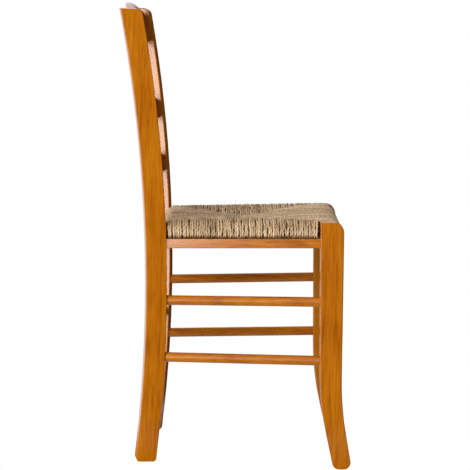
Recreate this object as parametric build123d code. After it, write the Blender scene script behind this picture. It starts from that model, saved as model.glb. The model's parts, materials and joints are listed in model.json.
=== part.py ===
from build123d import *
from math import asin, cos, radians, sin, sqrt, tan
import os

# A wooden dining chair with a woven rush seat. Millimetres and degrees.
# The chair faces -Y and +X is the sitter's left. Built about a plan origin inside the seat, and moved
# at the end so that the origin lies on the floor under the middle of the chair's box.

# Rear posts: boards sawn to one arc, turned a little to face the sitter and splayed towards the top
post_height = 883
post_depth = 40
post_thickness = 28
post_radius = 2920
post_waist_height = 292
post_waist_y = 151.6
post_spacing = 348.4
post_turn = 9
post_splay = 2.8
post_top_round = 15
post_foot_round = 10

# Front legs: straight to the knee, then kicked forward to the foot
front_width = 440
leg_thickness = 30
leg_back_y = -163.5
leg_top_drop = 3
leg_top_depth = 46
leg_knee_depth = 41.5
leg_foot_depth = 36
leg_knee_height = 126
leg_rake = 6.7
leg_kick = 28.7
leg_knee_round = 580
leg_top_round = 21
leg_foot_round = 14

# Rounding of the long edges of posts and legs
arris = 2

# Back slats: bottom edge, end height, how far the top arches above its ends, and the rounding of its
# front top edge. The crest hangs from the tops of the posts, and its rounding leaves a narrow flat.
slat_thickness = 18
slat_recess = 2
slat_edge_round = 2.5
crest_below_top, crest_end_height, crest_rise, crest_flat = 71, 54, 31, 1.5
middle_bottom, middle_end_height, middle_rise, middle_round = 656.5, 31, 25, 6
lower_bottom, lower_end_height, lower_rise, lower_round = 546.5, 29, 22, 6

# Seat rails, which slope down to the back
seat_slope = 1.6
rail_top_height = 444.2
rail_height = 18.8
rail_thickness = 20
rail_edge_round = 1.5
front_rail_back = 24
rear_rail_back = 5

# Round stretchers, given by the heights where they meet the front legs and the rear posts
stretcher_diameter = 19
upper_front_height, upper_rear_height = 325, 319
lower_front_height, lower_rear_height = 210.5, 206.5
front_stretcher_height = 265
rear_stretcher_height = 254
rear_stretcher_forward = 5

# Tenons, and the glue gap around them
tenon_length = 14
tenon_thickness = 10
tenon_shoulder = 5
stretcher_shoulder = 3
glue_gap = 0.1

# Seat frame, and the rush woven over and under it
frame_height = 21
frame_width = 24
frame_round = 15.5
rush_cover = 6.75
rush_inset = 3
rush_leg_gap = 4
rush_post_gap = 3.5
rush_front_setback = 3.5
rush_rear_reach = 13
rush_low_round = 5
rush_dish, rush_under_dish = 11, 4
rush_dish_border = 30
block_leg = 38
block_clear = 8
block_setback = 2

# Screws up through the side rails into the seat frame
screw_shank = 4
screw_head = 8
screw_head_height = 2.4
screw_grip = 9
screw_gap = 0.2
screw_slot_width = 1
screw_slot_length = 4.8
screw_slot_depth = 1.2
screw_from_leg = 60
screw_from_post = 60


def largest(shape):
    """The biggest solid of a shape that a cut has left in pieces."""
    return max(shape.solids(), key=lambda solid: solid.volume)


def round_corner(face, corner, radius):
    """Round the corner of a face that lies nearest to a point."""
    vertex = face.vertices().sort_by_distance(corner)[0]
    return fillet(vertex, radius)


def board(face, thickness):
    """A board sawn to an outline in the YZ plane, with its long edges eased."""
    solid = extrude(Plane.YZ * face, thickness / 2, both=True)
    sides = solid.faces().sort_by(Axis.X)
    rims = sides[0].edges() + sides[-1].edges()
    return fillet(rims, arris)


# Rear posts

def post_setback(height):
    """How far the middle line of a post lies behind its waist."""
    return post_radius - sqrt(post_radius**2 - (height - post_waist_height) ** 2)


def post_lean(height):
    """The slope of the middle line of a post at a height."""
    return asin((height - post_waist_height) / post_radius)


def post_point(height, depth, side):
    """A point of the left post, from its middle line, depth to the back and side outwards."""
    turn = radians(post_turn)
    back = post_setback(height) + depth
    splay = (height - post_waist_height) * tan(radians(post_splay))
    x = post_spacing / 2 + back * sin(turn) + (side + splay) * cos(turn)
    y = post_waist_y + back * cos(turn) - (side + splay) * sin(turn)
    return Vector(x, y, height)


def left_post():
    """The post before its mortises are cut, with its foot trimmed flat on the floor."""
    foot_spare = post_thickness * tan(radians(post_splay))

    def edge(radius):
        ends = []
        for rise in (-post_waist_height - foot_spare, 0, post_height - post_waist_height):
            ends.append((post_radius - sqrt(radius**2 - rise**2), rise))
        return ThreePointArc(*ends)

    front = edge(post_radius + post_depth / 2)
    back = edge(post_radius - post_depth / 2)
    face = make_face([front, back, Line(front @ 0, back @ 0), Line(front @ 1, back @ 1)])
    face = round_corner(face, front @ 1, post_top_round)
    face = round_corner(face, front @ 0, post_foot_round)
    face = round_corner(face, back @ 0, post_foot_round)
    upright = Rot(Z=-post_turn) * Rot(Y=post_splay) * board(face, post_thickness)
    post = Pos(post_spacing / 2, post_waist_y, post_waist_height) * upright
    return split(post, Plane.XY, keep=Keep.TOP)


# Front legs

def seat_height(y):
    """Height of the seat rails' top face at a depth."""
    return rail_top_height - y * tan(radians(seat_slope))


rush_height = frame_height + 2 * rush_cover
leg_top_rise = rush_height - leg_top_drop
leg_top_height = seat_height(leg_back_y) + leg_top_rise
leg_x = (front_width - leg_thickness) / 2


def leg_back(height):
    """Depth of a front leg's back face above the knee."""
    return leg_back_y - leg_rake * (leg_top_height - height) / (leg_top_height - leg_knee_height)


def left_leg():
    """The front leg before its mortises are cut."""
    knee_back_y = leg_back_y - leg_rake
    heel_y = knee_back_y - leg_kick
    front_top_y = leg_back_y - leg_top_depth
    back_top = (leg_back_y, leg_top_height)
    front_top = (front_top_y, seat_height(front_top_y) + leg_top_rise)
    back_knee = (knee_back_y, leg_knee_height)
    front_knee = (knee_back_y - leg_knee_depth, leg_knee_height)
    heel = (heel_y, 0)
    toe = (heel_y - leg_foot_depth, 0)
    face = make_face(Polyline(back_top, back_knee, heel, toe, front_knee, front_top, close=True))
    face = round_corner(face, back_knee, leg_knee_round)
    face = round_corner(face, front_knee, leg_knee_round)
    face = round_corner(face, front_top, leg_top_round)
    face = round_corner(face, heel, leg_foot_round)
    face = round_corner(face, toe, leg_foot_round)
    return Pos(leg_x) * board(face, leg_thickness)


# Straight members: a body that ends on its hosts' faces, and a tenon that goes on into each host

def bar(start, end, section):
    """A bar of one section between two points, with the section's first axis level."""
    line = end - start
    across = Vector(line.Y, -line.X, 0)
    return extrude(Plane(start, x_dir=across, z_dir=line) * section, line.length)


def tenoned(start, end, body, tenon, hosts):
    """A member between the tips of its two tenons, trimmed to its hosts' faces."""
    return largest(bar(start, end, body) - hosts) + bar(start, end, tenon)


def mortise(start, end, tenon):
    """The space for both tenons of a member, with the glue gap past each tip."""
    gap = (end - start).normalized() * glue_gap
    return bar(start - gap, end + gap, tenon)


def past_ends(start, end):
    """Move two points on the hosts' faces on to the tips of the tenons."""
    reach = (end - start).normalized() * tenon_length
    return start - reach, end + reach


stretcher_tenon_radius = stretcher_diameter / 2 - stretcher_shoulder
round_body = Circle(stretcher_diameter / 2)
round_tenon = Circle(stretcher_tenon_radius)
round_mortise = Circle(stretcher_tenon_radius + glue_gap)
rail_tenon_height = rail_height - 2 * tenon_shoulder
rail_body = RectangleRounded(rail_thickness, rail_height, rail_edge_round)
rail_tenon = Rectangle(tenon_thickness, rail_tenon_height)
rail_mortise = Rectangle(tenon_thickness + 2 * glue_gap, rail_tenon_height + 2 * glue_gap)


def mirrored(point):
    """The same point on the sitter's right."""
    return Vector(-point.X, point.Y, point.Z)


# Seat plane: rails, seat frame and rush are built level in it, then tilted with it
seat = Plane(
    origin=(0, 0, rail_top_height),
    x_dir=(1, 0, 0),
    z_dir=(0, sin(radians(seat_slope)), cos(radians(seat_slope))),
)
rail_middle = -rail_height / 2


def in_seat(point, height):
    """Plan position of a point, at a height above the seat plane."""
    local = seat.to_local_coords(point)
    return Vector(local.X, local.Y, height)


post_left_blank = left_post()
leg_left_blank = left_leg()
post_right_blank = mirror(post_left_blank, Plane.YZ)
leg_right_blank = mirror(leg_left_blank, Plane.YZ)
seat_level_hosts = {}
for host_name, host in (
    ("post_left", post_left_blank),
    ("post_right", post_right_blank),
    ("leg_left", leg_left_blank),
    ("leg_right", leg_right_blank),
):
    seat_level_hosts[host_name] = seat.location.inverse() * host

nodes = {}
cuts = {"post_left": [], "post_right": [], "leg_left": [], "leg_right": []}


# Side stretchers

def side_stretcher(front_height, rear_height):
    """The left stretcher between leg and post, and its mortise."""
    on_leg = Vector(leg_x, leg_back(front_height), front_height)
    on_post = post_point(rear_height, -post_depth / 2, 0)
    tips = past_ends(on_leg, on_post)
    piece = tenoned(*tips, round_body, round_tenon, [leg_left_blank, post_left_blank])
    return piece, mortise(*tips, round_mortise)


for level, heights in (
    ("upper", (upper_front_height, upper_rear_height)),
    ("lower", (lower_front_height, lower_rear_height)),
):
    piece, hole = side_stretcher(*heights)
    nodes[f"side_stretcher_{level}_left"] = piece
    nodes[f"side_stretcher_{level}_right"] = mirror(piece, Plane.YZ)
    for host in ("post", "leg"):
        cuts[f"{host}_left"].append(hole)
        cuts[f"{host}_right"].append(mirror(hole, Plane.YZ))

# Cross stretchers
leg_middle_back = (leg_top_depth + leg_knee_depth) / 4
leg_inner_x = leg_x - leg_thickness / 2
leg_middle_y = leg_back(front_stretcher_height) - leg_middle_back
on_leg = Vector(leg_inner_x, leg_middle_y, front_stretcher_height)
on_post = post_point(rear_stretcher_height, -rear_stretcher_forward, -post_thickness / 2)
for name, point, host, blanks in (
    ("front_stretcher", on_leg, "leg", [leg_left_blank, leg_right_blank]),
    ("rear_stretcher", on_post, "post", [post_left_blank, post_right_blank]),
):
    tips = past_ends(mirrored(point), point)
    nodes[name] = tenoned(*tips, round_body, round_tenon, blanks)
    hole = mortise(*tips, round_mortise)
    cuts[f"{host}_left"].append(hole)
    cuts[f"{host}_right"].append(hole)

# Side seat rails
rail_height_at_leg = seat_height(leg_back_y) + rail_middle
rail_height_at_post = seat_height(post_waist_y) + rail_middle
leg_face = Vector(leg_x, leg_back(rail_height_at_leg), rail_height_at_leg)
post_face = post_point(rail_height_at_post, -post_depth / 2, 0)
rail_tips = past_ends(in_seat(leg_face, rail_middle), in_seat(post_face, rail_middle))
rail_hosts = [seat_level_hosts["leg_left"], seat_level_hosts["post_left"]]
side_rail = tenoned(*rail_tips, rail_body, rail_tenon, rail_hosts)
rail_hole = seat * mortise(*rail_tips, rail_mortise)
for host in ("post", "leg"):
    cuts[f"{host}_left"].append(rail_hole)
    cuts[f"{host}_right"].append(mirror(rail_hole, Plane.YZ))

# Front and rear seat rails
leg_side = Vector(leg_inner_x, leg_face.Y - front_rail_back, rail_height_at_leg)
post_side = post_point(rail_height_at_post, rear_rail_back, -post_thickness / 2)
for name, point, host in (
    ("seat_rail_front", leg_side, "leg"),
    ("seat_rail_rear", post_side, "post"),
):
    end = in_seat(point, rail_middle)
    tips = past_ends(mirrored(end), end)
    blanks = [seat_level_hosts[f"{host}_left"], seat_level_hosts[f"{host}_right"]]
    nodes[name] = seat * tenoned(*tips, rail_body, rail_tenon, blanks)
    hole = seat * mortise(*tips, rail_mortise)
    cuts[f"{host}_left"].append(hole)
    cuts[f"{host}_right"].append(hole)


# Back slats: bowed to the back so that their ends meet the turned posts squarely

def bowed(plane, radius, centre_y, thickness, half_angle, low, high):
    """A bowed slab of one thickness between two heights."""
    outer, inner = radius + thickness / 2, radius - thickness / 2

    def edge(edge_radius):
        side, back = edge_radius * sin(half_angle), edge_radius * cos(half_angle)
        end_y, middle_y = centre_y + back, centre_y + edge_radius
        return ThreePointArc((-side, end_y), (0, middle_y), (side, end_y))

    far, near = edge(outer), edge(inner)
    face = make_face([far, near, Line(far @ 0, near @ 0), Line(far @ 1, near @ 1)])
    return plane * Pos(Z=low) * extrude(face, high - low)


def slat(bottom, end_height, rise, top_round):
    """A slat with an arched top between the posts, and its mortises."""
    lean = post_lean(bottom)
    plane = Plane(
        origin=(0, post_point(bottom, 0, 0).Y, bottom),
        x_dir=(1, 0, 0),
        z_dir=(0, sin(lean), cos(lean)),
    )
    front_to_middle = slat_recess + slat_thickness / 2 - post_depth / 2
    on_post = post_point(bottom + end_height / 2, front_to_middle, -post_thickness / 2)
    local = plane.to_local_coords(on_post)
    turn = radians(post_turn)
    radius = local.X / sin(turn)
    centre_y = local.Y - radius * cos(turn)
    reach = turn + tenon_length / radius
    curve = (plane, radius, centre_y)
    top = end_height + rise
    half = (radius + slat_thickness) * sin(reach)
    arch = ThreePointArc((-half, end_height), (0, top), (half, end_height))
    outline = make_face([arch, Polyline(arch @ 0, (-half, 0), (half, 0), arch @ 1)])
    sheet = plane * extrude(Plane.XZ * outline, radius, both=True)
    body = largest(bowed(*curve, slat_thickness, reach, 0, top) & sheet)

    def long_edges():
        front_top = plane.from_local_coords(Vector(0, centre_y + radius - slat_thickness / 2, top))
        return body.edges().filter_by(lambda edge: edge.length > local.X).sort_by_distance(front_top)

    body = fillet(long_edges()[1:], slat_edge_round)
    body = fillet(long_edges()[:1], top_round)
    body = largest(body - [post_left_blank, post_right_blank])
    low, high = tenon_shoulder, end_height - tenon_shoulder
    tenon = bowed(*curve, tenon_thickness, reach, low, high)
    hole_reach = reach + glue_gap / radius
    hole_thickness = tenon_thickness + 2 * glue_gap
    hole = bowed(*curve, hole_thickness, hole_reach, low - glue_gap, high + glue_gap)
    return body + tenon, hole


crest_bottom = post_height - crest_below_top
crest_round = slat_thickness - slat_edge_round - crest_flat
for name, sizes in (
    ("crest_rail", (crest_bottom, crest_end_height, crest_rise, crest_round)),
    ("middle_slat", (middle_bottom, middle_end_height, middle_rise, middle_round)),
    ("lower_slat", (lower_bottom, lower_end_height, lower_rise, lower_round)),
):
    nodes[name], hole = slat(*sizes)
    cuts["post_left"].append(hole)
    cuts["post_right"].append(hole)

# Posts and legs with all their mortises
nodes["rear_post_left"] = post_left_blank - cuts["post_left"]
nodes["rear_post_right"] = post_right_blank - cuts["post_right"]
nodes["front_leg_left"] = leg_left_blank - cuts["leg_left"]
nodes["front_leg_right"] = leg_right_blank - cuts["leg_right"]

# Plan of the seat, in the seat plane
post_corner = in_seat(post_point(rail_height_at_post, -post_depth / 2, post_thickness / 2), 0)
post_inner = in_seat(post_point(rail_height_at_post, -post_depth / 2, -post_thickness / 2), 0)
side_front_y = in_seat(leg_face, 0).Y + rush_leg_gap
side_rear_y = post_corner.Y - rush_post_gap
rush_front_y = in_seat(leg_face, 0).Y - leg_top_depth + rush_front_setback
rush_rear_y = post_corner.Y + rush_rear_reach
frame_front_y = rush_front_y + rush_cover
frame_rear_y = rush_rear_y - rush_cover
frame_low = rush_cover
frame_high = rush_cover + frame_height
rush_top_round = rush_cover + frame_round


def tapered(y, front_y, front_x, rear_x):
    """Half width at a depth of a plan that tapers from a front line to the posts' front corners."""
    share = (y - front_y) / (post_corner.Y - front_y)
    return front_x + (rear_x - front_x) * share


def outer_x(y, inset):
    """Half width over the seat's sides, in from the outer faces of legs and posts."""
    return tapered(y, side_front_y, front_width / 2, post_corner.X) - inset


def inner_x(y):
    """Half width of the seat's part that lies between the legs and between the posts."""
    return tapered(y, rush_front_y, front_width / 2 - leg_thickness, post_inner.X) - rush_inset


def slab(points, low, high):
    """A flat slab on a plan outline."""
    return Pos(Z=low) * extrude(make_face(Polyline(*points, close=True)), high - low)


def plan(half_width, front_y, rear_y):
    """Corners of a strip across the seat, with its half width taken from a function of the depth."""
    front_x, rear_x = half_width(front_y), half_width(rear_y)
    return [(-front_x, front_y), (front_x, front_y), (rear_x, rear_y), (-rear_x, rear_y)]


def strip(half_width, front_y, rear_y, low, high):
    """A slab across the seat."""
    return slab(plan(half_width, front_y, rear_y), low, high)


# Seat frame members, with ends flush with the rush and the outer top edge rounded for it to bend over

def round_top(member, x, y):
    """A seat frame member with the top edge nearest to a place rounded."""
    edge = member.edges().sort_by_distance((x, y, frame_high))[0]
    return fillet(edge, frame_round)


side_outer = rush_inset + rush_cover
side_inner = side_outer + frame_width
left_member = slab(
    [
        (outer_x(side_front_y, side_outer), side_front_y),
        (outer_x(side_front_y, side_inner), side_front_y),
        (outer_x(side_rear_y, side_inner), side_rear_y),
        (outer_x(side_rear_y, side_outer), side_rear_y),
    ],
    frame_low,
    frame_high,
)
side_middle_y = (side_front_y + side_rear_y) / 2
left_member = round_top(left_member, outer_x(side_middle_y, side_outer), side_middle_y)


def member_gap_x(y):
    """Half width of the space between the two side members."""
    return outer_x(y, side_inner)


front_member_back = frame_front_y + frame_width
rear_member_front = frame_rear_y - frame_width
front_member = strip(inner_x, frame_front_y, front_member_back, frame_low, frame_high)
front_member = round_top(front_member, 0, frame_front_y)
rear_member = strip(member_gap_x, rear_member_front, frame_rear_y, frame_low, frame_high)
rear_member = round_top(rear_member, 0, frame_rear_y)


def corner_block(member_y, start_y, step):
    """A left block in the corner between a cross member and the side member."""
    member_x = inner_x(member_y) - block_clear
    side_end_y = start_y + step * block_leg
    corners = [
        (member_x - block_leg, member_y),
        (member_x, member_y),
        (outer_x(start_y, side_inner), start_y),
        (outer_x(side_end_y, side_inner), side_end_y),
    ]
    return slab(corners, frame_low, frame_high)


blocks = {
    "front": corner_block(front_member_back, side_front_y + block_setback, 1),
    "rear": corner_block(rear_member_front, rear_member_front - block_clear, -1),
}


# Packing between the two layers of rush, inside the frame, and dished as the rush is

def dish(level, depth):
    """The shallow hollow of one face of the seat, between that face and its middle."""
    front_y, rear_y = side_front_y + rush_dish_border, side_rear_y - rush_dish_border
    corners = plan(lambda y: outer_x(y, 2 * rush_dish_border), front_y, rear_y)
    rim = Pos(Z=level) * make_face(Polyline(*corners, close=True))
    middle = Pos(0, (front_y + rear_y) / 2, level + depth)
    return loft([rim, middle * Rectangle(rush_dish_border, rush_dish_border)], ruled=True)


packing = strip(member_gap_x, side_front_y, rear_member_front, frame_low, frame_high)
for block in blocks.values():
    packing -= [block, mirror(block, Plane.YZ)]
packing = largest(packing - dish(frame_high, -rush_dish))

# Screws
screw_low = -rail_height
screw_length = rail_height + rush_cover + screw_grip


def rail_x(y):
    """Sideways place of the side rail's middle at a depth."""
    front, rear = rail_tips
    return front.X + (rear.X - front.X) * (y - front.Y) / (rear.Y - front.Y)


def screw(allowance):
    """A countersunk screw pointing up from its head, grown by an allowance."""
    head, shank = screw_head / 2 + allowance, screw_shank / 2 + allowance
    tip = screw_length + allowance
    profile = Polyline(
        (0, 0), (head, 0), (shank, screw_head_height), (shank, tip - screw_shank), (0, tip), close=True
    )
    return revolve(Plane.XZ * make_face(profile), Axis.Z)


screw_places = []
for screw_y in (side_front_y + screw_from_leg, side_rear_y - screw_from_post):
    screw_places.append(Pos(rail_x(screw_y), screw_y, screw_low))
    screw_places.append(Pos(-rail_x(screw_y), screw_y, screw_low))
slot = Box(screw_slot_length, screw_slot_width, 2 * screw_slot_depth)
slotted_screw = screw(0) - [slot, Rot(Z=90) * slot]
screw_holes = [place * screw(screw_gap) for place in screw_places]


# Rush: one roll from side to side and one from front to back, dished where the four fields meet

def rolled(edges):
    """A roll of rush with its long edges rounded, more at the top."""
    low_edges, top_edges = edges.group_by(Axis.Z)
    low_rounded = fillet(low_edges, rush_low_round)
    tops = [low_rounded.edges().sort_by_distance(edge @ 0.5)[0] for edge in top_edges]
    return fillet(tops, rush_top_round)


side_roll = strip(lambda y: outer_x(y, rush_inset), side_front_y, side_rear_y, 0, rush_height)
side_edges = side_roll.edges().filter_by(Axis.X, reverse=True).filter_by(Axis.Z, reverse=True)
side_roll = rolled(side_edges)
cross_roll = strip(inner_x, rush_front_y, rush_rear_y, 0, rush_height)
cross_roll = rolled(cross_roll.edges().filter_by(Axis.X))
rush = side_roll + cross_roll
rush -= [dish(rush_height, -rush_dish), dish(0, rush_under_dish)]
inside = [left_member, mirror(left_member, Plane.YZ), front_member, rear_member, packing]
for block in blocks.values():
    inside += [block, mirror(block, Plane.YZ)]
rush -= inside
rush -= screw_holes

# Seat nodes, tilted with the seat plane
left_member -= screw_holes
side_rail -= screw_holes
nodes["seat_rail_left"] = seat * side_rail
nodes["seat_rail_right"] = seat * mirror(side_rail, Plane.YZ)
nodes["seat_frame_left"] = seat * left_member
nodes["seat_frame_right"] = seat * mirror(left_member, Plane.YZ)
nodes["seat_frame_front"] = seat * front_member
nodes["seat_frame_rear"] = seat * rear_member
for place, block in blocks.items():
    nodes[f"corner_block_{place}_left"] = seat * block
    nodes[f"corner_block_{place}_right"] = seat * mirror(block, Plane.YZ)
nodes["seat_packing"] = seat * packing
nodes["rush_seat"] = seat * rush
screws = [(place * slotted_screw).solid() for place in screw_places]
nodes["seat_screws"] = seat * Compound(screws)

# Origin on the floor under the middle of the chair's box
solids = [solid for shape in nodes.values() for solid in shape.solids()]
middle_y = Compound(solids).bounding_box().center().Y
os.makedirs("parts", exist_ok=True)
for name, shape in nodes.items():
    export_step(Pos(Y=-middle_y) * shape, f"parts/{name}.step")
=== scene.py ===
import bpy
import json
import math
import random
from mathutils import Matrix, Vector, noise

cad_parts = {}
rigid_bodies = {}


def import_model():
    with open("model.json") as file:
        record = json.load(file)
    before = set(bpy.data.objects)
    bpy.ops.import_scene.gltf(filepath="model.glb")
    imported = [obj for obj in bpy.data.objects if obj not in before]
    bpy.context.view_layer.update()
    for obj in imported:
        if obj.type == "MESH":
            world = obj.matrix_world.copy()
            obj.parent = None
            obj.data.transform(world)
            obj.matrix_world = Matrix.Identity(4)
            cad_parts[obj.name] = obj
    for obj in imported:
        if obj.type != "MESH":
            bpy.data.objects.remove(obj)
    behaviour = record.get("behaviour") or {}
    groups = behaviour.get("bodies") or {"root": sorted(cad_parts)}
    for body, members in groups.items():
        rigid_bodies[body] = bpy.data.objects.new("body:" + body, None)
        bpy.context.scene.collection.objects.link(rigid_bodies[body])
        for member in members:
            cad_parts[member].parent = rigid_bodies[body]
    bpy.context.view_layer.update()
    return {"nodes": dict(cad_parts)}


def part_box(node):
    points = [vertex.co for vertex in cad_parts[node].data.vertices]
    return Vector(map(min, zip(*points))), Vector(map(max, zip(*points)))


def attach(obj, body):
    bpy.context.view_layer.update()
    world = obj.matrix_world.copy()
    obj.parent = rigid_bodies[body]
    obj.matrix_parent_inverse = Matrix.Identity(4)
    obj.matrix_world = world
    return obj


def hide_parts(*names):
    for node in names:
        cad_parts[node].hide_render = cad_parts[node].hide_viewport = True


# A wooden dining chair with a woven rush seat. Metres, in the frame of the solids:
# the chair faces -Y, +X is the sitter's left, and the camera stands on the sitter's right.
for leftover in list(bpy.data.objects):
    bpy.data.objects.remove(leftover, do_unlink=True)
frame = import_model()
random.seed(7)

# Camera, found from the photograph
IMAGE_PIXELS = 470
CAMERA_PLACE = (-4.5358, 0.0016, 0.8886)
CAMERA_FOCAL_PIXELS = 2262.4
CAMERA_PITCH = 0.1005
CAMERA_ROLL = 0.0185
CAMERA_REACH = 100
SENSOR_MM = 36

# Soft lamps: a key on the camera's side towards the back, and a faint one above
LAMP_AIM = (0, 0, 0.5)
KEY_PLACE = (-2.75, 1.17, 0.85)
KEY_WIDTH = 1.2
KEY_HEIGHT = 1.7
KEY_RADIANCE = 10.4
TOP_PLACE = (-0.6, 0.2, 2.6)
TOP_WIDTH = 1.6
TOP_RADIANCE = 0.1

# Surroundings: bright towards one way, dim elsewhere, with an even fill on rough surfaces
WORLD_BRIGHT_WAY = (0.35, 0.80, 0.50)
WORLD_EDGE = (0.20, 0.44)
WORLD_DIM = 0.01
WORLD_LIGHT = 0.88
WORLD_FILL = 0.30

# Floor: a disc whose glow rises to white at its rim
FLOOR_RADIUS = 0.36
FLOOR_X = 0.05
FLOOR_SIDES = 96
FLOOR_GLOW = 0.84
FLOOR_GLOW_FROM = 0.6
FLOOR_GREY = 0.34

# Seat plane: height of the rails' top faces at one depth, and its fall to the back
SEAT_HEIGHT = 0.4442
SEAT_HEIGHT_Y = 0.0016
SEAT_SLOPE = math.radians(1.6)

# Seat frame under the rush: width of its side members and how far the rush stands out from them
FRAME_WIDTH = 0.024
FRAME_COVER = 0.00675

# Cord: spacing, two-lobed section, steps along it and length of one turn of its twist
CORD_PITCH = 0.0046
CORD_PITCH_JITTER = 0.08
CORD_RADIUS = 0.0024
CORD_RADIUS_RANGE = (0.93, 1.06)
CORD_LOBE = 0.2
CORD_SIDES = 8
CORD_STEP = 0.0022
CORD_LAY = 0.018
CORD_LAY_RANGE = (0.85, 1.2)
CORD_LIFT_RANGE = (-0.0005, 0.0003)

# Wander of a cord to its sides: how far, and how quickly it changes with the place and with the tone
WANDER = 0.0024
WANDER_RATE = 30
WANDER_RATE_UP = 60
WANDER_TONE_RATE = 90

# Tone of the cords: neighbours are partly alike, and each kind of field has its own spread
MIDDLE_TONE = 0.5
BUNDLE_RATE = 110
BUNDLE_SLICE = 0.5
BUNDLE_SHARE = 0.55
SIDE_SPREAD = 0.45
END_SPREAD = 0.6

# Weave: its layers above the rails, the hollow in both, and where its four fields meet
WEAVE_LOW = -0.0015
WEAVE_HEIGHT = 0.0355
WEAVE_DISH = 0.0115
WEAVE_UNDER_DISH = 0.004
DISH_BORDER_X = 0.045
DISH_BORDER_Y = 0.025
WEAVE_MIDDLE_Y = -0.009
WEAVE_BRIDGE_HALF = 0.026

# A cord's route: its end dips between the layers, and it rolls over the edge of the seat
DIVE_LENGTH = 0.010
DIVE_DEPTH = 0.007
ROLL_REACH = 0.027
ROLL_LOW = 0.005
REAR_ROLL_LOW = 0.0015
REAR_SAG = 0.003
FLAT_STEPS = 40
LOW_STEPS = 6
ROLL_STEPS = 20

# Painted shade on the weave: under its edge and a little over its top, by height above its underside, and
# in the creases of the twist
UNDER_TOP = 0.009
UNDER_FADE = 0.006
TOP_SHADE_FROM = 0.014
TOP_SHADE_FADE = 0.008
PAINTED_TOP_SHADE = 0.14
CREASE_SIDE_POWER = 3
CREASE_LOBE_POWER = 4


def linear(red, green, blue):
    """A colour given as it looks on screen, from 0 to 255, as linear light."""
    values = []
    for part in (red, green, blue):
        level = part / 255
        values.append(level / 12.92 if level <= 0.04045 else ((level + 0.055) / 1.055) ** 2.4)
    return (*values, 1)


WHITE = (1, 1, 1, 1)
NOISE_RANGE = (0.3, 0.7)

# Stained wood: stains from dark to light, parts of the grain, and the varnish
HONEY_STAIN = [
    (0.30, linear(150, 74, 0)),
    (0.46, linear(182, 103, 1)),
    (0.56, linear(192, 114, 3)),
    (0.72, linear(210, 135, 14)),
]
# Painted shade: a redder copy of the honey stain for the back slats, for the deep red of their fronts in
# shade
SHADED_SLAT_STAIN = [
    (0.30, linear(146, 57, 0)),
    (0.46, linear(177, 82, 0)),
    (0.56, linear(187, 93, 2)),
    (0.72, linear(204, 114, 9)),
]
# Painted shade: the stain grows darker towards the floor
FLOOR_SHADE_HEIGHT = 0.8
FLOOR_SHADE_DEPTH = 0.06
GRAIN_STRETCH = 0.045
GRAIN_SCALES = {
    "x": (GRAIN_STRETCH, 1, 1),
    "y": (1, GRAIN_STRETCH, 1),
    "z": (1, 1, GRAIN_STRETCH),
}
GRAIN_SHIFT = 3
FIGURE_SCALE = 55
FIGURE_WAVE = 1.2
FIGURE_SHARE = 0.42
FIBRE_SCALE = 330
FIBRE_SHARE = 0.58
PORE_SCALE = 1100
PORE_RANGE = (0.30, 0.42)
PORE_SHARE = 0.22
PORE_COLOUR = linear(124, 56, 0)
CLOUD_SCALE = 9
CLOUD_SHARE = 0.25
GRAIN_BUMP = 0.02
GRAIN_DEPTH = 0.0006
FLAT_VARNISH = (0.15, 0.23)
FLAT_GLOSS = 0.5
TURNED_VARNISH = (0.34, 0.42)
TURNED_GLOSS = 0.3
SCUFF_HEIGHT = 0.09
SCUFF_ROUGHNESS = 0.5
SCUFF_GLOSS = 0

# Raw wood of the seat frame
RAW_COLOURS = [(0.3, linear(132, 98, 62)), (0.7, linear(178, 144, 100))]
RAW_SCALE = 180
RAW_ROUGHNESS = (0.65, 0.8)

# Loose rush between the layers
PACKING_COLOURS = [(0.3, linear(84, 64, 40)), (0.7, linear(168, 142, 104))]
PACKING_SCALE = 240
PACKING_STRETCH = (1, 0.1, 1)
PACKING_ROUGHNESS = (0.8, 0.95)

# Steel of the screws
STEEL_COLOURS = [(0.3, linear(150, 148, 142)), (0.7, linear(186, 184, 178))]
STEEL_SCALE = 900
STEEL_STRETCH = (1, 1, 6)
STEEL_ROUGHNESS = (0.3, 0.45)

# Rush cord: colours from dark to light, and what each part adds to the tone or takes from it
RUSH_COLOURS = [
    (0.26, linear(78, 52, 32)),
    (0.42, linear(126, 97, 66)),
    (0.58, linear(190, 158, 119)),
    (0.72, linear(226, 197, 157)),
    (0.90, linear(252, 233, 203)),
]
RUSH_TONE_SHARE = 0.48
RUSH_TONE_SHIFT = 40.0
RUSH_FIBRE_SHARE = 0.66
RUSH_FIBRE_STRETCH = (60, 5, 1)
RUSH_FIBRE_SCALE = 1.6
RUSH_PATCH_SHARE = 0.30
RUSH_PATCH_SCALE = 38
RUSH_SHADE_SHARE = 0.35
RUSH_CREASE_SHADE_SHARE = 0.17
RUSH_ROUGHNESS = (0.55, 0.8)
RUSH_BUMP = 0.5
RUSH_DEPTH = 0.0008


# Materials

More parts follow.
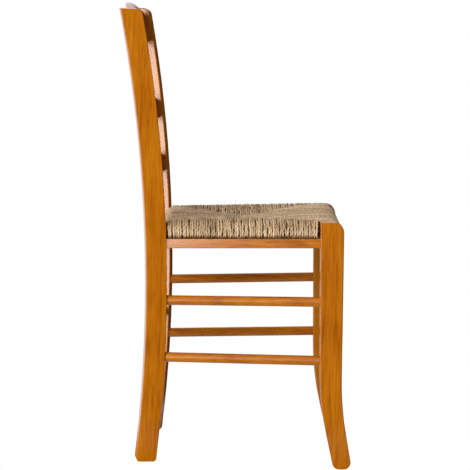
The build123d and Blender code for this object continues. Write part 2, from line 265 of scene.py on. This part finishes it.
class Tree:
    """A short way to write the nodes of a material or of the surroundings."""

    def __init__(self, node_tree):
        self.nodes, self.links = node_tree.nodes, node_tree.links

    def node(self, kind, inputs=None, **settings):
        """A new node with its settings, and inputs that are values or other nodes' outputs."""
        made = self.nodes.new(kind)
        for key, value in settings.items():
            setattr(made, key, value)
        for key, value in (inputs or {}).items():
            self.set(made.inputs[key], value)
        return made

    def set(self, socket, value):
        """A socket given a value or another node's output."""
        if isinstance(value, bpy.types.NodeSocket):
            self.links.new(value, socket)
        else:
            socket.default_value = value

    def ramp(self, factor, stops):
        """A colour ramp over (place, colour) stops."""
        made = self.node("ShaderNodeValToRGB", {"Fac": factor})
        elements = made.color_ramp.elements
        while len(elements) < len(stops):
            elements.new(1)
        for element, (place, colour) in zip(elements, stops):
            element.position = place
            element.color = colour
        return made.outputs["Color"]

    def span(self, value, low, high, to_low, to_high, **settings):
        """A value mapped from one range to another."""
        made = self.node("ShaderNodeMapRange", {
            "Value": value, "From Min": low, "From Max": high, "To Min": to_low, "To Max": to_high,
        }, **settings)
        return made.outputs["Result"]

    def maths(self, operation, *values):
        """A sum, product or the like of values and other nodes' outputs."""
        made = self.node("ShaderNodeMath", dict(enumerate(values)), operation=operation)
        return made.outputs["Value"]

    def tinted(self, colour, tint, factor):
        """A colour with another mixed in. Its sockets share their names, so they go by number."""
        made = self.node("ShaderNodeMix", {"Factor": factor, 6: colour, 7: tint}, data_type="RGBA")
        return made.outputs[2]

    def noise(self, vector, scale, detail=4.0, roughness=0.55, distortion=0.0):
        """Cloudy noise, mostly within NOISE_RANGE."""
        made = self.node("ShaderNodeTexNoise", {
            "Vector": vector, "Scale": scale, "Detail": detail, "Roughness": roughness,
            "Distortion": distortion,
        })
        return made.outputs["Fac"]

    def stretched(self, place=(0, 0, 0), scale=(1, 1, 1)):
        """Object coordinates, moved and stretched, for grain that runs along a piece."""
        coordinates = self.node("ShaderNodeTexCoord").outputs["Object"]
        made = self.node("ShaderNodeMapping", {"Vector": coordinates, "Location": place, "Scale": scale})
        return made.outputs["Vector"]

    def mark(self, name):
        """A value that a mesh carries at each of its points."""
        return self.node("ShaderNodeAttribute", attribute_name=name).outputs["Fac"]


class Finish(Tree):
    """A new material with its shader."""

    def __init__(self, name):
        self.material = bpy.data.materials.new(name)
        self.material.use_nodes = True
        super().__init__(self.material.node_tree)
        self.shader = self.nodes["Principled BSDF"]

    def shade(self, **values):
        """The shader's inputs, by their names with _ for a space."""
        for key, value in values.items():
            self.set(self.shader.inputs[key.replace("_", " ")], value)

    def bump(self, height, strength, depth):
        """Fine relief from a height."""
        made = self.node("ShaderNodeBump", {"Strength": strength, "Distance": depth, "Height": height})
        return made.outputs["Normal"]


def grain_place():
    """A place of its own in the grain for each piece."""
    return [random.uniform(0, GRAIN_SHIFT) for _ in range(3)]


def stained_wood(name, grain, stain, varnish, full_gloss):
    """Stained wood under varnish, with its grain along one axis, scuffed near the floor, and with painted
    shade growing darker towards the floor.
    """
    tree = Finish(name)
    place = grain_place()
    along = tree.stretched(place, GRAIN_SCALES[grain])
    figure = tree.noise(along, FIGURE_SCALE, detail=3, distortion=FIGURE_WAVE)
    fibre = tree.noise(along, FIBRE_SCALE, detail=5, roughness=0.6)
    pores = tree.noise(along, PORE_SCALE, detail=2)
    clouds = tree.noise(tree.stretched(place), CLOUD_SCALE, detail=2)
    height = tree.node("ShaderNodeSeparateXYZ", {0: tree.stretched()}).outputs["Z"]
    figure_part = tree.maths("MULTIPLY", figure, FIGURE_SHARE)
    streaks = tree.maths("ADD", figure_part, tree.maths("MULTIPLY", fibre, FIBRE_SHARE))
    cloud_part = tree.maths("MULTIPLY", tree.maths("SUBTRACT", clouds, 0.5), CLOUD_SHARE)
    toned = tree.maths("ADD", streaks, cloud_part)
    # Painted shade, darker towards the floor, where less light falls
    toned = tree.maths("SUBTRACT", toned, tree.span(height, 0, FLOOR_SHADE_HEIGHT, FLOOR_SHADE_DEPTH, 0))
    pore_part = tree.span(pores, *PORE_RANGE, PORE_SHARE, 0)
    scuffs = tree.span(height, 0, SCUFF_HEIGHT, SCUFF_ROUGHNESS, 0)
    tree.shade(
        Base_Color=tree.tinted(tree.ramp(toned, stain), PORE_COLOUR, pore_part),
        Roughness=tree.maths("ADD", tree.span(fibre, *NOISE_RANGE, *varnish), scuffs),
        Specular_IOR_Level=tree.span(height, 0, SCUFF_HEIGHT, SCUFF_GLOSS, full_gloss),
        Normal=tree.bump(streaks, GRAIN_BUMP, GRAIN_DEPTH),
    )
    return tree.material


def raw_wood(name, grain):
    """Planed softwood with no finish."""
    tree = Finish(name)
    fibre = tree.noise(tree.stretched(grain_place(), GRAIN_SCALES[grain]), RAW_SCALE, detail=5)
    tree.shade(
        Base_Color=tree.ramp(fibre, RAW_COLOURS),
        Roughness=tree.span(fibre, *NOISE_RANGE, *RAW_ROUGHNESS),
    )
    return tree.material


def packing_rush(name):
    """Loose rush offcuts."""
    tree = Finish(name)
    straws = tree.noise(tree.stretched(scale=PACKING_STRETCH), PACKING_SCALE)
    tree.shade(
        Base_Color=tree.ramp(straws, PACKING_COLOURS),
        Roughness=tree.span(straws, *NOISE_RANGE, *PACKING_ROUGHNESS),
    )
    return tree.material


def screw_steel(name):
    """Plain steel with turning marks."""
    tree = Finish(name)
    marks = tree.noise(tree.stretched(scale=STEEL_STRETCH), STEEL_SCALE, detail=2)
    tree.shade(
        Base_Color=tree.ramp(marks, STEEL_COLOURS),
        Metallic=1,
        Roughness=tree.span(marks, *NOISE_RANGE, *STEEL_ROUGHNESS),
    )
    return tree.material


def rush_cord(name):
    """Dry twisted rush: each cord has its own tone, with fibres that follow its twist."""
    tree = Finish(name)
    tone = tree.mark("tone")
    shift = tree.maths("MULTIPLY", tone, RUSH_TONE_SHIFT)
    cord = tree.node("ShaderNodeCombineXYZ", {"X": tree.mark("along"), "Y": tree.mark("turn"), "Z": shift})
    vector = tree.node("ShaderNodeMapping", {"Vector": cord.outputs["Vector"], "Scale": RUSH_FIBRE_STRETCH})
    fibres = tree.noise(vector.outputs["Vector"], RUSH_FIBRE_SCALE, detail=5, roughness=0.65)
    patches = tree.noise(tree.stretched(), RUSH_PATCH_SCALE, detail=2)
    mixed = tree.maths("MULTIPLY", tone, RUSH_TONE_SHARE)
    mixed = tree.maths("ADD", mixed, tree.maths("MULTIPLY", fibres, RUSH_FIBRE_SHARE))
    mixed = tree.maths("ADD", mixed, tree.maths("MULTIPLY", patches, RUSH_PATCH_SHARE))
    # Painted shade: darker under the seat's edge, a little darker over its top, and darker in the creases
    # of the twist
    mixed = tree.maths("SUBTRACT", mixed, tree.maths("MULTIPLY", tree.mark("shade"), RUSH_SHADE_SHARE))
    mixed = tree.maths("SUBTRACT", mixed, tree.maths("MULTIPLY", tree.mark("crease_shade"), RUSH_CREASE_SHADE_SHARE))
    tree.shade(
        Base_Color=tree.ramp(mixed, RUSH_COLOURS),
        Roughness=tree.span(fibres, *NOISE_RANGE, *RUSH_ROUGHNESS),
        Normal=tree.bump(fibres, RUSH_BUMP, RUSH_DEPTH),
    )
    return tree.material


# Grain direction of each wooden node, by the start of its name
STAINED = {
    "rear_post": "z",
    "front_leg": "z",
    "crest_rail": "x",
    "middle_slat": "x",
    "lower_slat": "x",
    "seat_rail_front": "x",
    "seat_rail_rear": "x",
    "seat_rail_left": "y",
    "seat_rail_right": "y",
    "side_stretcher": "y",
    "front_stretcher": "x",
    "rear_stretcher": "x",
}
RAW = {
    "seat_frame_front": "x",
    "seat_frame_rear": "x",
    "seat_frame_left": "y",
    "seat_frame_right": "y",
    "corner_block": "x",
}
BACK_SLATS = ("crest_rail", "middle_slat", "lower_slat")


def node_material(name):
    """The finish of one of the chair's solids."""
    finish = name + "_finish"
    for start, grain in STAINED.items():
        if name.startswith(start):
            # The back slats take the redder stain of painted shade
            stain = SHADED_SLAT_STAIN if name in BACK_SLATS else HONEY_STAIN
            if "stretcher" in name:
                return stained_wood(finish, grain, stain, TURNED_VARNISH, TURNED_GLOSS)
            return stained_wood(finish, grain, stain, FLAT_VARNISH, FLAT_GLOSS)
    for start, grain in RAW.items():
        if name.startswith(start):
            return raw_wood(finish, grain)
    if name == "seat_screws":
        return screw_steel(finish)
    return packing_rush(finish)


for node_name, node in frame["nodes"].items():
    node.data.materials.clear()
    node.data.materials.append(node_material(node_name))


# Rush weave: four fields of cord, each wound round one edge of the seat and in to the mitre lines

rush_low, rush_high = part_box("rush_seat")
side_low, side_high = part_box("seat_frame_left")
FRONT_Y, REAR_Y = rush_low[1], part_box("seat_rail_rear")[0][1] - CORD_RADIUS
SIDE_FRONT_Y, SIDE_REAR_Y = side_low[1], side_high[1]
FRONT_HALF, REAR_HALF = rush_high[0], side_low[0] + FRAME_WIDTH + FRAME_COVER
FRONT_GAP_HALF, REAR_GAP_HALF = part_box("seat_frame_front")[1][0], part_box("seat_frame_rear")[1][0]


def seat_point(x, y, up):
    """A place on the seat, at a height above the rails' top faces."""
    fall = (y - SEAT_HEIGHT_Y) * math.tan(SEAT_SLOPE)
    return Vector((x, y + up * math.sin(SEAT_SLOPE), SEAT_HEIGHT - fall + up * math.cos(SEAT_SLOPE)))


def share(value, low, high):
    """Where a value lies between two limits."""
    return (value - low) / (high - low)


def mix(low, high, part):
    """The value a part of the way from one to another."""
    return low + (high - low) * part


def clamped(value):
    """A value kept between 0 and 1."""
    return max(0, min(1, value))


def edge_x(y):
    """Half width of the seat over its side rolls."""
    return mix(FRONT_HALF, REAR_HALF, share(y, SIDE_FRONT_Y, SIDE_REAR_Y))


def mitre_x(y):
    """Half width between the ends of the side fields' cords."""
    if y < WEAVE_MIDDLE_Y:
        return mix(FRONT_GAP_HALF, WEAVE_BRIDGE_HALF, share(y, SIDE_FRONT_Y, WEAVE_MIDDLE_Y))
    return mix(WEAVE_BRIDGE_HALF, REAR_GAP_HALF, share(y, WEAVE_MIDDLE_Y, SIDE_REAR_Y))


def mitre_y(x, gap_half, corner_y):
    """Depth where the cords of the front or the rear field end."""
    part = clamped(share(abs(x), WEAVE_BRIDGE_HALF, gap_half))
    return mix(WEAVE_MIDDLE_Y, corner_y, part)


def dish(x, y):
    """How much of its full depth the seat's hollow has at a place, falling evenly to the middle."""
    across = abs(x) / (edge_x(y) - DISH_BORDER_X)
    if y < WEAVE_MIDDLE_Y:
        along = share(y, WEAVE_MIDDLE_Y, SIDE_FRONT_Y + DISH_BORDER_Y)
    else:
        along = share(y, WEAVE_MIDDLE_Y, SIDE_REAR_Y - DISH_BORDER_Y)
    return max(0, 1 - max(across, along))


def cord_shade(place):
    """Painted shade on a cord at a place: under the edge of the seat, and a little over the top of the
    weave.
    """
    above = place.z - seat_point(place.x, place.y, WEAVE_LOW).z
    under = clamped((UNDER_TOP - above) / UNDER_FADE)
    top_shade = PAINTED_TOP_SHADE * clamped((above - TOP_SHADE_FROM) / TOP_SHADE_FADE)
    return max(under, top_shade)


def cord_route(length, low):
    """Distance in from the edge and height, from the mitre below, round the edge, to the mitre above."""
    bend = WEAVE_HEIGHT / 2 - CORD_RADIUS
    length = max(length, ROLL_REACH + DIVE_LENGTH)

    def flat(edge, level):
        """The run between the mitre and the roll, with its end dipped between the layers."""
        run = []
        for step in range(FLAT_STEPS + 1):
            distance = mix(length, edge, step / FLAT_STEPS)
            dive = DIVE_DEPTH * max(0, 1 - (length - distance) / DIVE_LENGTH) ** 2
            run.append((distance, level - math.copysign(dive, level)))
        return run

    route = flat(low, -bend)
    for step in range(1, LOW_STEPS):
        angle = math.pi / 2 * step / LOW_STEPS
        route.append((low * (1 - math.sin(angle)), low * (1 - math.cos(angle)) - bend))
    for step in range(ROLL_STEPS):
        angle = math.pi / 2 * step / ROLL_STEPS
        route.append((ROLL_REACH * (1 - math.cos(angle)), mix(low - bend, bend, math.sin(angle))))
    return route + flat(ROLL_REACH, bend)[::-1]


def resampled(points, step):
    """Points a steady step apart along a line of points."""
    lengths = [0]
    for first, second in zip(points, points[1:]):
        lengths.append(lengths[-1] + (second - first).length)
    count = max(2, round(lengths[-1] / step))
    even = []
    index = 0
    for number in range(count + 1):
        goal = lengths[-1] * number / count
        while index < len(points) - 2 and lengths[index + 1] < goal:
            index += 1
        part = (goal - lengths[index]) / max(1e-9, lengths[index + 1] - lengths[index])
        even.append(points[index].lerp(points[index + 1], min(1, part)))
    return even


class Weave:
    """The cords of one field, gathered into one mesh."""

    def __init__(self, spread, low=ROLL_LOW, sag=0):
        self.points, self.faces = [], []
        self.spread, self.low, self.sag = spread, low, sag
        self.marks = {"tone": [], "along": [], "turn": [], "shade": [], "crease_shade": []}

    def cord_line(self, start, inward, across, length, lift, tone):
        """The middle line of one cord, in even steps."""
        line = []
        for distance, height in cord_route(length, self.low):
            flat = start + inward * distance
            if height > 0:
                shift = lift - WEAVE_DISH * dish(flat.x, flat.y)
            else:
                shift = lift + WEAVE_UNDER_DISH * dish(flat.x, flat.y) - self.sag
            depth = height * WANDER_RATE_UP + tone * WANDER_TONE_RATE
            wave = noise.noise(Vector((flat.x * WANDER_RATE, flat.y * WANDER_RATE, depth)))
            flat += across * WANDER * wave
            bend_share = abs(height) / (WEAVE_HEIGHT / 2)
            up = WEAVE_LOW + WEAVE_HEIGHT / 2 + height + shift * bend_share
            line.append(seat_point(flat.x, flat.y, up))
        return resampled(line, CORD_STEP)

    def add_cord(self, start, inward, length):
        """One cord, from its place on the edge of the seat and the way in."""
        across = Vector((-inward.y, inward.x, 0))
        bundle = 0.5 + noise.noise(Vector((start.x * BUNDLE_RATE, start.y * BUNDLE_RATE, BUNDLE_SLICE)))
        tone = mix(random.random(), clamped(bundle), BUNDLE_SHARE)
        tone = mix(MIDDLE_TONE, tone, self.spread)
        phase = random.uniform(0, math.tau)
        radius = CORD_RADIUS * random.uniform(*CORD_RADIUS_RANGE)
        lift = random.uniform(*CORD_LIFT_RANGE)
        lay = CORD_LAY * random.uniform(*CORD_LAY_RANGE)
        line = self.cord_line(start, inward, across, length, lift, tone)
        base = len(self.points)
        for ring, place in enumerate(line):
            before, after = line[max(0, ring - 1)], line[min(len(line) - 1, ring + 1)]
            out = (after - before).normalized().cross(across)
            run = ring * CORD_STEP
            twist = phase + math.tau * run / lay
            shade = cord_shade(place)
            for corner in range(CORD_SIDES):
                angle = math.tau * corner / CORD_SIDES
                turned = angle + twist
                reach = radius * (1 + CORD_LOBE * math.cos(2 * angle))
                # Painted shade in the creases: darker where a cord's sides meet its neighbours, and in the
                # waist between its two lobes
                side_crease = abs(math.cos(turned)) ** CREASE_SIDE_POWER
                lobe_crease = abs(math.sin(angle)) ** CREASE_LOBE_POWER
                self.points.append(place + (across * math.cos(turned) + out * math.sin(turned)) * reach)
                self.marks["tone"].append(tone)
                self.marks["along"].append(run)
                self.marks["turn"].append(abs(corner / CORD_SIDES * 2 - 1))
                self.marks["shade"].append(shade)
                self.marks["crease_shade"].append(max(side_crease, lobe_crease))
        self.add_skin(base, len(line))

    def add_skin(self, base, rings):
        """The faces round one cord's rings of points, and over its two ends."""
        for ring in range(rings - 1):
            first = base + ring * CORD_SIDES
            second = first + CORD_SIDES
            for corner in range(CORD_SIDES):
                following = (corner + 1) % CORD_SIDES
                self.faces.append((first + corner, first + following, second + following, second + corner))
        last = base + (rings - 1) * CORD_SIDES
        self.faces.append(tuple(reversed(range(base, base + CORD_SIDES))))
        self.faces.append(tuple(range(last, last + CORD_SIDES)))

    def piece(self, name, material):
        """The finished field, standing for the seat's plain solid."""
        mesh = bpy.data.meshes.new(name)
        mesh.from_pydata(self.points, [], self.faces)
        for mark, values in self.marks.items():
            mesh.attributes.new(mark, "FLOAT", "POINT").data.foreach_set("value", values)
        mesh.shade_smooth()
        mesh.materials.append(material)
        made = bpy.data.objects.new(name, mesh)
        bpy.context.collection.objects.link(made)
        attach(made, "root")
        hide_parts("rush_seat")


def cord_places(low, high):
    """Evenly spread cords between two limits, a little uneven."""
    count = round((high - low) / CORD_PITCH)
    pitch = (high - low) / count
    places = []
    for number in range(count):
        jitter = random.uniform(-CORD_PITCH_JITTER, CORD_PITCH_JITTER)
        places.append(low + pitch * (number + 0.5) + jitter * pitch)
    return places


def side_field(name, material, weave, side):
    """The field of one side, with its cords running in across the chair."""
    for y in cord_places(SIDE_FRONT_Y, SIDE_REAR_Y):
        weave.add_cord(Vector((side * edge_x(y), y, 0)), Vector((-side, 0, 0)), edge_x(y) - mitre_x(y))
    weave.piece(name, material)


def end_field(name, material, weave, edge_y, way, gap_half, corner_y):
    """The front or the rear field, with its cords running in along the chair."""
    for x in cord_places(-gap_half, gap_half):
        length = abs(mitre_y(x, gap_half, corner_y) - edge_y)
        weave.add_cord(Vector((x, edge_y, 0)), Vector((0, way, 0)), length)
    weave.piece(name, material)


cord_finish = rush_cord("rush_cord_finish")
side_field("rush_field_left", cord_finish, Weave(SIDE_SPREAD), 1)
side_field("rush_field_right", cord_finish, Weave(SIDE_SPREAD), -1)
front_weave = Weave(END_SPREAD)
rear_weave = Weave(END_SPREAD, REAR_ROLL_LOW, REAR_SAG)
end_field("rush_field_front", cord_finish, front_weave, FRONT_Y, 1, FRONT_GAP_HALF, SIDE_FRONT_Y)
end_field("rush_field_rear", cord_finish, rear_weave, REAR_Y, -1, REAR_GAP_HALF, SIDE_REAR_Y)


# Stage, light and camera

def add_floor():
    """A pale round floor, white to the eye, which keeps the chair's shadow."""
    mesh = bpy.data.meshes.new("floor")
    rim = []
    for corner in range(FLOOR_SIDES):
        angle = math.tau * corner / FLOOR_SIDES
        rim.append((FLOOR_RADIUS * math.cos(angle), FLOOR_RADIUS * math.sin(angle), 0))
    mesh.from_pydata(rim, [], [tuple(range(FLOOR_SIDES))])
    floor = bpy.data.objects.new("floor", mesh)
    floor.location.x = FLOOR_X
    bpy.context.collection.objects.link(floor)
    tree = Finish("floor_finish")
    tree.nodes.remove(tree.shader)
    path = tree.node("ShaderNodeLightPath").outputs
    seen = tree.maths("MAXIMUM", path["Is Camera Ray"], path["Is Glossy Ray"])
    seen = tree.maths("MAXIMUM", seen, path["Is Transmission Ray"])
    place = tree.node("ShaderNodeTexCoord").outputs["Object"]
    reach = tree.node("ShaderNodeVectorMath", {0: place}, operation="LENGTH").outputs["Value"]
    strength = tree.span(reach, FLOOR_RADIUS * FLOOR_GLOW_FROM, FLOOR_RADIUS, FLOOR_GLOW, 1)
    glow = tree.node("ShaderNodeEmission", {"Color": WHITE, "Strength": strength})
    paint = tree.node("ShaderNodeBsdfDiffuse", {"Color": (FLOOR_GREY, FLOOR_GREY, FLOOR_GREY, 1)})
    bright = tree.node("ShaderNodeAddShader", {0: glow.outputs[0], 1: paint.outputs[0]})
    both = tree.node("ShaderNodeMixShader", {"Fac": seen, 1: paint.outputs[0], 2: bright.outputs[0]})
    tree.set(tree.nodes["Material Output"].inputs["Surface"], both.outputs[0])
    mesh.materials.append(tree.material)


def add_world():
    """White to the eye. What it gives the chair is bright behind and above, and dim in front."""
    world = bpy.data.worlds.new("studio")
    bpy.context.scene.world = world
    world.use_nodes = True
    tree = Tree(world.node_tree)
    direction = tree.node("ShaderNodeTexCoord").outputs["Generated"]
    facing = tree.node("ShaderNodeVectorMath", {0: direction, 1: WORLD_BRIGHT_WAY}, operation="DOT_PRODUCT")
    facing = facing.outputs["Value"]
    backdrop = tree.span(facing, *WORLD_EDGE, WORLD_DIM, 1, interpolation_type="SMOOTHSTEP")
    path = tree.node("ShaderNodeLightPath").outputs
    mirrored = tree.maths("MAXIMUM", path["Is Glossy Ray"], path["Is Transmission Ray"])
    seen = tree.maths("MAXIMUM", path["Is Camera Ray"], tree.maths("MULTIPLY", mirrored, backdrop))
    light = tree.maths("MULTIPLY", backdrop, WORLD_LIGHT)
    lit = tree.maths("MULTIPLY_ADD", path["Is Diffuse Ray"], WORLD_FILL, light)
    background = tree.nodes["Background"]
    tree.set(background.inputs["Strength"], tree.maths("MAXIMUM", seen, lit))
    tree.set(background.inputs["Color"], WHITE)


def add_softbox(name, place, width, height, radiance):
    """A soft lamp of one brightness all over its face, aimed at the middle of the chair."""
    lamp = bpy.data.lights.new(name, "AREA")
    lamp.shape = "RECTANGLE"
    lamp.size, lamp.size_y = width, height
    lamp.energy = radiance * math.pi * width * height
    made = bpy.data.objects.new(name, lamp)
    made.location = place
    made.rotation_euler = (Vector(LAMP_AIM) - Vector(place)).to_track_quat("-Z", "Y").to_euler()
    made.visible_camera = False
    bpy.context.collection.objects.link(made)


def add_camera():
    """The camera of the photograph."""
    forward = Vector((math.cos(CAMERA_PITCH), 0, -math.sin(CAMERA_PITCH)))
    up = Vector((math.sin(CAMERA_PITCH), 0, math.cos(CAMERA_PITCH)))
    right = Vector((0, -1, 0))
    level, tip = math.cos(CAMERA_ROLL), math.sin(CAMERA_ROLL)
    axes = Matrix((right * level + up * tip, up * level - right * tip, -forward)).transposed()
    data = bpy.data.cameras.new("camera")
    data.sensor_width = SENSOR_MM
    data.lens = CAMERA_FOCAL_PIXELS * SENSOR_MM / IMAGE_PIXELS
    data.clip_end = CAMERA_REACH
    made = bpy.data.objects.new("camera", data)
    made.matrix_world = Matrix.Translation(CAMERA_PLACE) @ axes.to_4x4()
    bpy.context.collection.objects.link(made)
    bpy.context.scene.camera = made


add_floor()
add_world()
add_softbox("key", KEY_PLACE, KEY_WIDTH, KEY_HEIGHT, KEY_RADIANCE)
add_softbox("top", TOP_PLACE, TOP_WIDTH, TOP_WIDTH, TOP_RADIANCE)
add_camera()
bpy.context.scene.view_settings.view_transform = "Standard"
